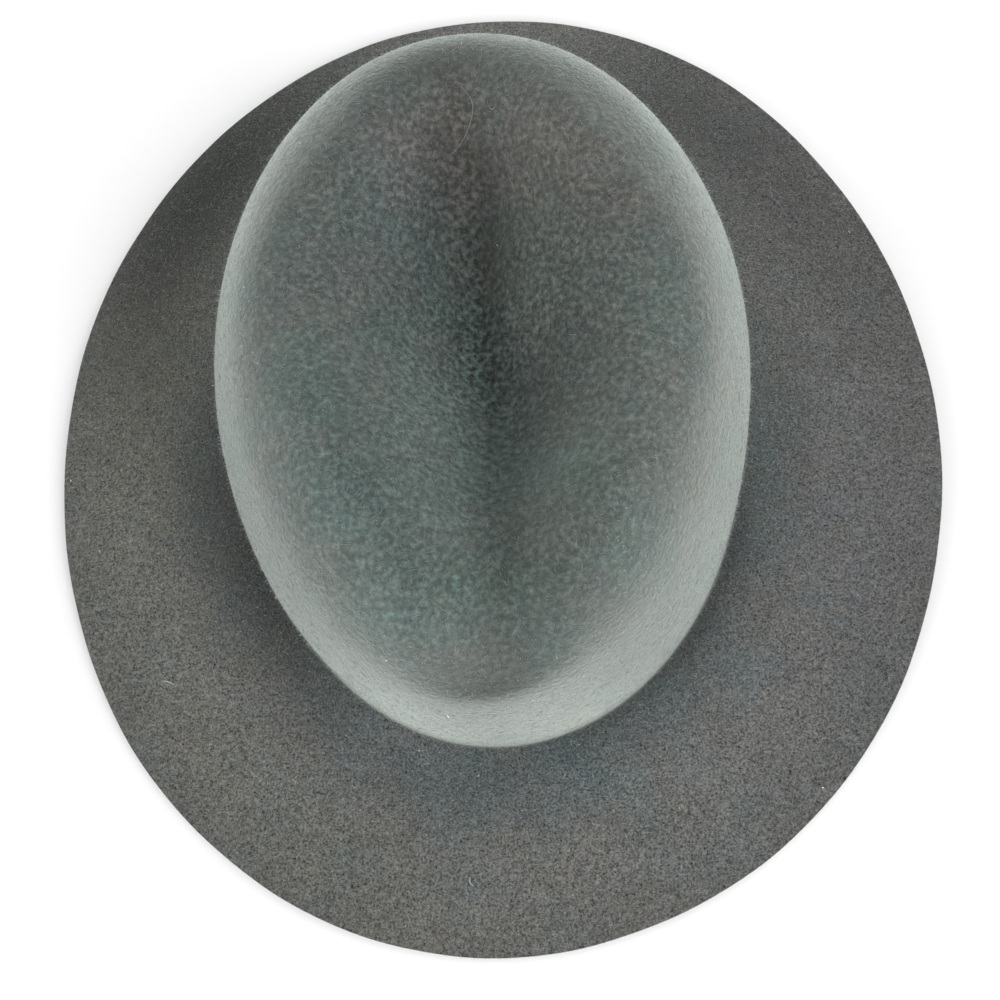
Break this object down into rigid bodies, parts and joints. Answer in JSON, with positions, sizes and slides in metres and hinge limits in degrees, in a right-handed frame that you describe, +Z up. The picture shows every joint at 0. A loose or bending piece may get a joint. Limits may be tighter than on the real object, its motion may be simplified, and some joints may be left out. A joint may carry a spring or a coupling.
{
  "type": "wool felt hat",
  "caption": "Wide-brimmed hat blocked from one piece of wool felt, with an egg-shaped crown, a soft centre crease and a flat oval brim with a raw cut edge.",
  "frame": {"origin": "middle of the surface that the brim rests on, under the middle of the hat", "axes": "+Z up through the crown, the front of the hat faces -Y, +X to the left hand of a person who wears it"},
  "size_m": [0.307, 0.3389, 0.12],
  "materials": {
    "wool_felt": "fine napped wool felt, dark grey with a sage bloom"
  },
  "bodies": {
    "root": {"felt_hat_body": "wool_felt"}
  },
  "joints": []
}
